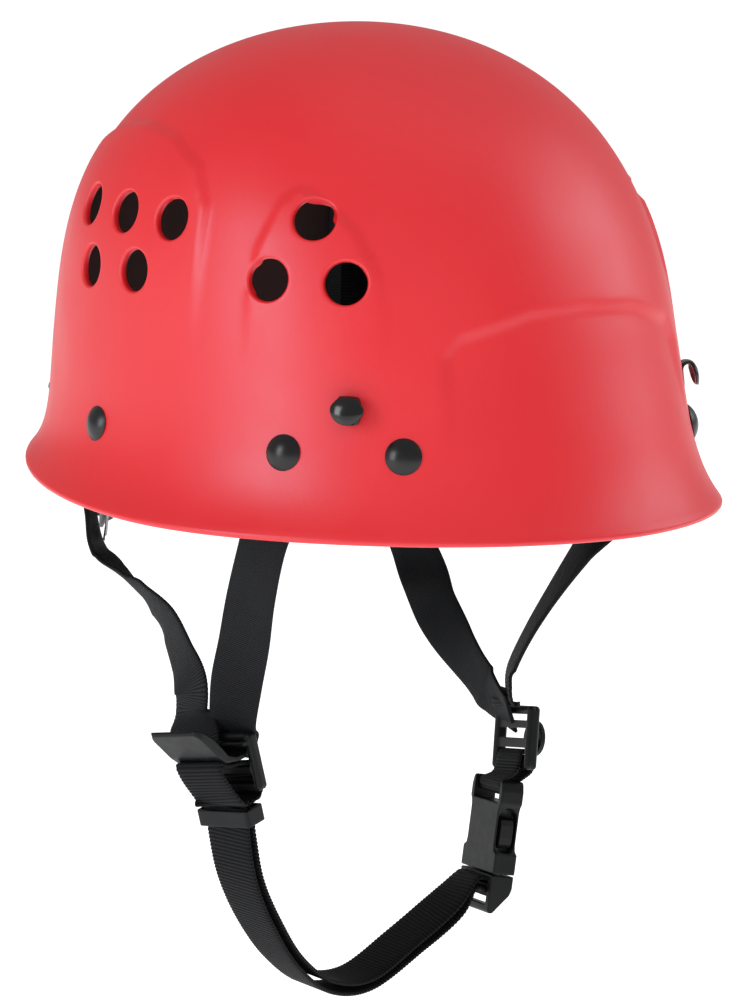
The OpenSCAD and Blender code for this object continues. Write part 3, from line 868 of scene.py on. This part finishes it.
def hanger_tabs():
    meshes = []
    for side in SIDES:
        for middle in (36, 98, 124):
            rows = on_edge(side * (middle - 7), side * (middle + 7), 3.1, 29, 4)
            meshes.append(strip("hanger_tabs_visual", rows, ["band"], width=30, thick=2, pitch=1, rib=0,
                                per_rib=1))
    join_into(meshes[0], meshes[1:])
    place(meshes[0], "helmet", "band", "hanger_tabs")


NAPE_Y, NAPE_Z = 97.0, -21.0


def nape_band(side, name, body):
    rows = [[61.5, 68, 6], [61, 72, -3], [58.5, 77.5, -14], [52, 87, -20.5], [45, 94.5, -21], [38, 99, -21]]
    rows = [[side * x, y, z, 0, 0, 1] for x, y, z in rows]
    made = strip(name + "_visual", rows, ["band"], width=24, thick=1.8, pitch=0.8, rib=0, per_rib=1)
    spans(made, ("helmet", body), (side * 0.061, 0.072, -0.003), (side * 0.046, 0.094, -0.021), "band", name)


def nape_housing():
    local = Matrix.Translation((0, 0, NAPE_Z))
    part = Moulding("nape_housing_visual", local)
    part.slab(rounded_rect((-26, -15), (26, 15), 6), NAPE_Y - 1, NAPE_Y + 8, axes="xz")
    part.box((-60, NAPE_Y + 1.6, -10.4), (60, NAPE_Y + 5.3, 10.4), cut=True)
    part.bar((0, NAPE_Y + 4, 0), (0, NAPE_Y + 12, 0), 7.3, cut=True)
    place(part.done(["hard"], 0.45), "helmet", "hard_plastic", "nape_housing")


def nape_dial():
    local = Matrix.Translation((0, 0, NAPE_Z))
    part = Moulding("nape_dial_visual", local)
    outline = []
    for k in range(180):
        a = math.radians(2 * k)
        r = 15 - 1.1 * max(0, math.cos(12 * a)) ** 2
        outline.append((r * math.cos(a), r * math.sin(a)))
    part.slab(outline, NAPE_Y + 8.4, NAPE_Y + 15.6, axes="xz")
    part.bar((0, NAPE_Y + 2, 0), (0, NAPE_Y + 8.6, 0), 5.6)
    part.bar((0, NAPE_Y + 8.4, 0), (0, NAPE_Y + 16.4, 0), 10.5)
    # Shallow dish in the dial's face
    part.bar((0, NAPE_Y + 15.4, 0), (0, NAPE_Y + 18, 0), 8.6, cut=True)
    place(part.done(["hard"], 0.4), "nape_dial", "hard_plastic", "nape_dial")


def care_label():
    """A thin woven tag that hangs by its top edge and curls a little."""
    local = turned((-70.7, 59.6, -31.5), 48)
    wide, tall = 12.0, 19.0
    points, faces, uvs = [], [], []
    for j in range(25):
        for i in range(11):
            x, z = wide * i / 10, tall * j / 24
            curl = 1.1 * math.sin(math.pi * i / 10) * (1 - j / 24) + 0.8 * (1 - j / 24) ** 2
            points.append(tuple(local @ Vector((x, curl, z))))
            uvs.append((x, z))
    for j in range(24):
        for i in range(10):
            a = j * 11 + i
            faces.append((a, a + 1, a + 12, a + 11))
    made = mesh_object("care_label_visual", points, faces, ["label"], uvs)
    place(made, "helmet", "label", "care_label")


# --- pads
def inflate(made, voxel, pressure, cap, frames=20):
    """Fills a small closed form with air, as a foam pad fills its cover, and keeps the result."""
    remesh = made.modifiers.new("voxels", "REMESH")
    remesh.mode, remesh.voxel_size = "VOXEL", voxel * MM
    apply_modifiers(made)
    rest = vertex_rows(made.data)
    cloth = made.modifiers.new("cloth", "CLOTH")
    cloth.settings.use_pressure = True
    cloth.settings.uniform_pressure_force = pressure
    cloth.settings.effector_weights.gravity = 0
    cloth.settings.tension_stiffness = 18
    cloth.settings.compression_stiffness = 18
    cloth.settings.bending_stiffness = 0.6
    cloth.point_cache.frame_start, cloth.point_cache.frame_end = 1, frames
    scene = bpy.context.scene
    for f in range(1, frames + 1):
        scene.frame_set(f)
    depsgraph = bpy.context.evaluated_depsgraph_get()
    shift = vertex_rows(made.evaluated_get(depsgraph).to_mesh()) - rest
    far = np.linalg.norm(shift, axis=1, keepdims=True)
    shift *= np.minimum(1, cap * MM / np.maximum(far, 1e-9))
    made.modifiers.clear()
    scene.frame_set(1)
    made.data.vertices.foreach_set("co", (rest + shift).ravel())
    made.data.update()


def finish_pad(made, slot, node):
    smooth = made.modifiers.new("smooth", "SMOOTH")
    smooth.iterations, smooth.factor = 3, 0.5
    fine = made.modifiers.new("fine", "SUBSURF")
    fine.levels = fine.render_levels = 1
    apply_modifiers(made)
    dressed(made, ["pad"])
    place(made, "helmet", slot, node)


def groove(made, line, depth, width):
    """Presses a sewn line into a pad: line(p) is each point's distance from it in millimetres."""
    co = vertex_rows(made.data).astype(float)
    away = line(co / MM)
    co -= vertex_rows(made.data, "normal") * (depth * MM * np.exp(-(away / width) ** 2))[:, None]
    made.data.vertices.foreach_set("co", co.astype(np.float32).ravel())
    made.data.update()


def brow_pad():
    made = strip("brow_pad_visual", on_edge(-61, 61, -2.9, 18), ["pad"], width=33, thick=3.8,
                 pitch=2, rib=0, per_rib=1)
    inflate(made, 1.5, 4, 1.0)

    def channels(p):
        angle = np.degrees(np.arctan2(p[:, 0] / 82, -p[:, 1] / 99))
        spacing = 20.0
        return np.abs((angle + spacing / 2) % spacing - spacing / 2) * 1.5

    finish_pad(made, "padding", "brow_pad")
    groove(made, channels, 0.9, 1.3)


def nape_pad():
    rows = [[-20.5, NAPE_Y - 4.4, NAPE_Z, 0, 0, 1], [20.5, NAPE_Y - 4.4, NAPE_Z, 0, 0, 1]]
    made = strip("nape_pad_visual", rows, ["pad"], width=26, thick=4.4, pitch=2, rib=0, per_rib=1)
    inflate(made, 1.5, 4, 1.0)
    finish_pad(made, "padding", "nape_pad")
    groove(made, lambda p: np.abs(np.abs(p[:, 0]) - 11), 0.8, 1.2)


def crown_pad():
    profile = [(0.05, 119.4), (27, 119.4), (29.8, 119.8), (30.2, 120.6), (29.6, 121.4), (27, 121.8),
               (0.05, 121.8)]
    made = lathe("crown_pad_visual", profile, [Matrix.Translation((0, -2, 0))], ["pad"], around=72)
    inflate(made, 1.2, 3, 0.4)
    finish_pad(made, "padding", "crown_pad")

    def rings(p):
        r = np.hypot(p[:, 0], p[:, 1] + 2)
        return np.minimum(np.abs(r - 12), np.abs(r - 26))

    groove(made, rings, 0.5, 0.9)


# --- chin harness
FRONT_RIGHT = [[-88, -62, 18, -54], [-89, -58, 4, -66], [-88, -51, -12, -80], [-85, -42, -33, -76],
               [-81, -34, -52, -68], [-79, -28, -68, -64], [-77, -24, -82, -74]]
REAR_RIGHT = [[-66, 88, 15, 38], [-69, 80, 2, 43], [-72.1, 68.5, -20, 45], [-74, 61.2, -32.3, 42],
              [-73, 54.7, -38, 44], [-73, 42.1, -43.9, 64], [-74.1, 30.5, -47.7, 70.5],
              [-76, 15.7, -54.2, 72.7], [-78.5, 3.3, -65.2, 77], [-80.5, -4.2, -74.3, 86.6],
              [-81, -5.5, -82.7, 83.4]]
FRONT_LEFT = [[88, -62, 18, 54], [89, -57, 4, 62], [89.4, -51.8, -16, 88.1], [84.7, -40, -34.9, 65.6],
              [81.5, -29.2, -52.2, 55.7], [77.5, -20.1, -70, 50.9], [73.3, -15.2, -85.2, 50],
              [70.3, -16.5, -93.3, 48.5]]
REAR_LEFT = [[66, 88, 15, -38], [73, 78, -3, -48], [81, 64, -27, -64], [79.3, 50.3, -48.3, -73],
             [77.9, 40.9, -60, -60.4], [77.5, 33.6, -71, -72.7], [76.3, 20, -82.5, -86.9],
             [75.7, 5.9, -93.1, -98.2], [74.1, -2.4, -97.8, -105.5], [70.3, -18.6, -103.2, -112.3]]
CHIN = [[-68, -22, -143, -82], [-57, -20, -161, -84], [-42, -17, -179, -88], [-22, -13, -193, -90],
        [0, -11, -197, -90], [24, -11, -187, -92], [41, -14.5, -175.5, -96]]
RETURN = [[-71, -22, -144, -82], [-60, -20, -163, -84], [-44, -17, -182, -88], [-23, -13, -197, -90],
          [0, -11, -200.5, -90], [26, -11, -190.2, -92], [43, -14.8, -178.6, -96]]

LOCK_RIGHT = turned((-76, -21, -99), 104, -8, 11)
LOCK_LEFT = turned((72.2, -20, -112.3), -104, -9, -12)
KEEPER = turned((-75.4, -22.5, -118.6), 100, -10, 9)
BUCKLE = turned((61.3, -18, -164.8), -107, -9.5, -7)


def at(local, x, y, z, flip=1):
    """A route row at a local place, its width along the local X."""
    across = local.to_3x3() @ Vector((flip, 0, 0))
    return [*(local @ Vector((x, y, z))), *across]


def to_rivet(phi, z, first):
    """Rows that lead a strap from the rivet that holds it, inside the shell, to its route."""
    return headed([[*dome(phi, z + up, WALL + 1.6), first[3]] for up in (7, 0)])


def wrapped(route, local, places):
    """The rows of a route, then places in a local frame, with the sense of the width kept."""
    rows = [at(local, *p) for p in places]
    if rows and np.dot(route[-1][3:], rows[0][3:]) < 0:
        rows = [at(local, *p, -1) for p in places]
    return route + rows


def v_straps(side, name_front, name_rear, front, rear, lock, front_end, rear_end):
    """Both legs of a V, each from its rivet to the lock's top bar."""
    for name, rivet, route, skip, end in ((name_rear, (148, 20), rear, 0, rear_end),
                                          (name_front, (54, 24), front, 1, front_end)):
        rows = wrapped(to_rivet(side * rivet[0], rivet[1], route[0]) + headed(route[skip:]), lock, end)
        made = strip(name + "_visual", rows, ["fine"])
        spans(made, ("helmet", "harness"), (0, -0.016, 0.0), (0, -0.016, -0.085), "webbing", name)


def chin_webbing():
    """The chin strap runs doubled from the keeper to the plug, where it loops round the plug's bar."""
    for name, from_bar, below, route, ends in (
            ("chin_strap", (0, -1.1, 0), (-73, -22.5, -126), CHIN,
             [(0, -9.5, -4), (0, -6.6, -2.2), (0, -4.2, -2.5), (0, -2, -3.4), (0, 0.6, -3.9), (0, 2.3, -5),
              (0, 2.65, -6.6)]),
            ("chin_strap_return", (0, 1.1, 0), (-76, -22.5, -126), RETURN,
             [(0, -9.5, -7.4), (0, -6.2, -6.4), (0, -3.6, -8), (0, -1.5, -9.1), (0, 0.6, -9.15),
              (0, 2.3, -8.2), (0, 2.65, -6.6)])):
        start = [at(KEEPER, *from_bar, -1)] + headed([[*below, -80]])
        rows = wrapped(start + headed(route), BUCKLE, ends)
        made = strip(name + "_visual", rows, ["coarse"], pitch=1.55, rib=0.27, per_rib=6)
        spans(made, ("harness", "buckle_plug"), (-0.057, -0.02, -0.161), (0.055, -0.015, -0.173), "webbing",
              name)


def lock_loop():
    """The stretch of chin strap that threads the right adjuster: up inside, out over the middle bar and
    under the tab, round the tab's end and back down to the keeper."""
    lock = [(0, -3.4, -12), (0, -3.2, -4.5), (0, -2.2, -1.2), (0, 0, -0.6), (0, 5, 0.9), (0, 11, 2.0),
            (0, 14.6, 3.4), (0, 16.6, 4.9), (0, 17.6, 3.6), (0, 16, -1.2), (0, 12.5, -7.5), (0, 9.4, -12.5)]
    rows = [at(KEEPER, 0, -1.1, -2), at(KEEPER, 0, -1.3, 4)] + [at(LOCK_RIGHT, *p) for p in lock]
    rows += [at(KEEPER, 0, 2.8, 5), at(KEEPER, 0, 1.1, -2)]
    made = strip("lock_loop_visual", rows, ["coarse"], pitch=1.55, rib=0.27, per_rib=6)
    spans(made, ("adjuster_right", "harness"), (-0.0755, -0.021, -0.101), (-0.0755, -0.021, -0.117),
          "webbing")


def link_webbing():
    """Closed loop of webbing between the left adjuster's lower bar and the socket's top bar."""
    down = [(0, 1.9, -6.6), (0, 2.5, -9.8), (0, 2.8, -13.2)]
    below = [(0, 2.9, 35.2), (0, 2.1, 31.9), (0, 0, 30.9), (0, -2.1, 31.9), (0, -3.2, 35.2)]
    up = [(0, -4.2, -14.1), (0, -2.7, -10.4), (0, -2.3, -7.6), (0, -1.4, -5.6), (0, 0.6, -5.2), (0, 1.6, -6)]
    rows = [at(LOCK_LEFT, *p) for p in down] + [at(BUCKLE, *p) for p in below]
    rows += [at(LOCK_LEFT, *p) for p in up]
    made = strip("link_strap_left_visual", rows, ["coarse"], width=18.5, pitch=1.3, rib=0.22, per_rib=6,
                 square=0.0)
    spans(made, ("harness", "adjuster_left"), (0.068, -0.016, -0.130), (0.070, -0.021, -0.123), "webbing",
          "link_strap_left")


def ladder(part, tall, bars):
    """The frame of a ladder lock: two flat side bars, a round top bar and square bars at given heights."""
    x, y, r = 12.3, 0.9, 1.7
    end = tall / 2 - r
    for s in SIDES:
        for offset in (-y, y):
            part.bar((s * x, offset, -end), (s * x, offset, end), r, ball=True)
        part.box((s * x - r, -y, -end), (s * x + r, y, end))
    part.bar((-x, 0, end), (x, 0, end), r)
    for low, high in bars:
        part.box((-x, -1.5, low), (x, 1.5, high))


def adjuster_right():
    part = Moulding("adjuster_right_visual", LOCK_RIGHT)
    ladder(part, 22, [(2.2, 4.2), (-4.5, -1.5), (-10.8, -8.2)])
    # Lift tab: out from between the bars, then up in one bend to a thin edge
    under = [(0, 2.3), (8, 2.7), (14.5, 4.2), (18.5, 7.9), (27.6, 19), (27.7, 19.8)]
    over = [(27.3, 20.5), (26.6, 20.6), (22.5, 17.8), (18.9, 14.6), (15.6, 10.6), (12.5, 6.4), (8, 4.4),
            (0, 4.1)]
    part.slab(under + over, -11, 11, axes="yz")
    for s in SIDES:
        corner = arc((8, 24.9), 3, 90, 0, 6) + [(13, 24.9), (13, 30), (8, 30)]
        part.slab([(s * x, y) for x, y in corner], 8, 25, axes="xy", cut=True)
    # Lip in front of the tab's root, which the webbing bears on
    part.bar((-11.5, 4.3, 8), (11.5, 4.3, 8), 0.8)
    for s in SIDES:
        part.box((s * 10.6, 1, 7.2), (s * 12.6, 5, 8.8))
    place(part.done(["hard"], 0.3), "adjuster_right", "hard_plastic", "adjuster_right")


def adjuster_left():
    part = Moulding("adjuster_left_visual", LOCK_LEFT)
    ladder(part, 25, [(3.7, 6.7), (-4, -0.2), (-12.2, -9.2)])
    part.box((-3, 1, -3.6), (3, 7.6, -0.6))
    part.bar((0, 7.4, 0), (0, 9.4, 0), 7)
    place(part.done(["hard"], 0.3), "adjuster_left", "hard_plastic", "adjuster_left")


def keeper():
    part = Moulding("strap_keeper_visual", KEEPER)
    part.slab(rounded_rect((-12.1, -5), (12.1, 5), 1.4), -3.1, 3.1, axes="xy")
    part.slab(rounded_rect((-11, -3.7), (11, 3.7), 0.8), -6, 6, axes="xy", cut=True)
    place(part.done(["hard"], 0.3, 3), "keeper", "hard_plastic", "strap_keeper")


def oval_rows(low, high, r):
    return arc((0, high), r, 0, 180, 12) + arc((0, low), r, 180, 360, 12)


def buckle_socket():
    part = Moulding("buckle_socket_visual", BUCKLE)
    edge = [(14, 0), (14, 8.0), (12.0, 9.2), (11.5, 11.5), (11.5, 24), (12, 26), (13, 27.6), (13, 32.5),
            (12.2, 35.6), (11.2, 36.5)]
    part.slab(edge + [(-x, z) for x, z in edge[::-1]], -4.8, 4.8, axes="xz")
    part.box((-10.4, -3.2, -1), (10.4, 3.2, 25), cut=True)
    for s in SIDES:
        part.slab(oval_rows(12.2, 21.6, 4.1), s * 8, s * 16, axes="yz", cut=True)
    part.box((-10.5, -8, 27.6), (10.5, 8, 31.8), cut=True)
    for s in SIDES:
        part.box((-10.5, s * 1.8, 27.6), (10.5, s * 8, 39), cut=True)
    part.box((-10.5, -8, 35.2), (10.5, 8, 39), cut=True)
    place(part.done(["hard"], 0.3), "harness", "hard_plastic", "buckle_socket")


def buckle_plug():
    part = Moulding("buckle_plug_visual", BUCKLE)
    side = [(-4.8, -0.6), (-4.8, -14.8), (-4, -15.6), (-2.6, -15.4), (4, -8), (4.8, -5.5), (4.8, -0.6)]
    part.slab(side, -13.5, 13.5, axes="yz")
    part.box((-10.5, -8, -4.9), (10.5, 8, -2.2), cut=True)
    part.box((-10.5, -8, -12.4), (10.5, 8, -8.3), cut=True)
    for s in SIDES:
        part.box((-10.5, s * 1.8, -8.4), (10.5, s * 8, -4.8), cut=True)
    part.box((-2, -1.8, -1), (2, 1.8, 19))
    place(part.done(["hard"], 0.3), "buckle_plug", "hard_plastic", "buckle_plug")


def prong(name, side, body):
    """A sprung arm: a leaf, and a pad that fills the socket's side window."""
    part = Moulding(name + "_visual", BUCKLE)
    part.box((side * 6.8, -2.7, 1), (side * 9.4, 2.7, 21.5))
    part.bar((side * 8.1, -2.7, 1), (side * 8.1, 2.7, 1), 1.3)
    barb = [(9, 10), (10.6, 10.2), (11.5, 11.5), (11.8, 14), (11.8, 19), (11, 21), (9.6, 21.5), (9, 21.5)]
    part.slab([(side * u, v) for u, v in barb], -2.7, 2.7, axes="xz")
    place(part.done(["hard"], 0.22, 3), body, "hard_plastic", name)


# --- the whole
def dress_racks():
    """The racks are the CAD's own, with a material."""
    for node in ("nape_rack_right", "nape_rack_left"):
        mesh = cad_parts[node].data
        mesh.materials.clear()
        mesh.materials.append(MATERIALS["band"])


camera()
studio()
shell()
rivets()
lamp_clips("lamp_clips_front_visual", 43, 40)
lamp_clips("lamp_clips_rear_visual", 157, 44)
cradle_strap("crown_strap_right_brow", -40, 107, 140, 98, 0, -40)
cradle_strap("crown_strap_left_brow", 40, 107, -140, 98, 2, 40)
cradle_strap("crown_strap_side", -92, 93, 88, 93, 4, 90)
headband()
hanger_tabs()
crown_pad()
brow_pad()
nape_pad()
nape_band(-1, "nape_band_right", "nape_rack_right")
nape_band(1, "nape_band_left", "nape_rack_left")
nape_housing()
nape_dial()
dress_racks()
care_label()
v_straps(-1, "strap_front_right", "strap_rear_right", FRONT_RIGHT, REAR_RIGHT, LOCK_RIGHT,
         [(-3.2, -3.3, 10.5), (-1.5, -3.5, 6), (-0.6, -3.4, 1.6)],
         [(11.4, 1.6, 14.5), (8.2, 5.2, 10.2), (7.2, 6.6, 8), (7, 6.9, 6.2)])
v_straps(1, "strap_front_left", "strap_rear_left", FRONT_LEFT, REAR_LEFT, LOCK_LEFT,
         [(0, -5.6, 14.5), (0, -5.2, 12)], [])
chin_webbing()
lock_loop()
link_webbing()
adjuster_right()
adjuster_left()
keeper()
buckle_socket()
buckle_plug()
prong("buckle_prong_front", 1, "prong_front")
prong("buckle_prong_rear", -1, "prong_rear")
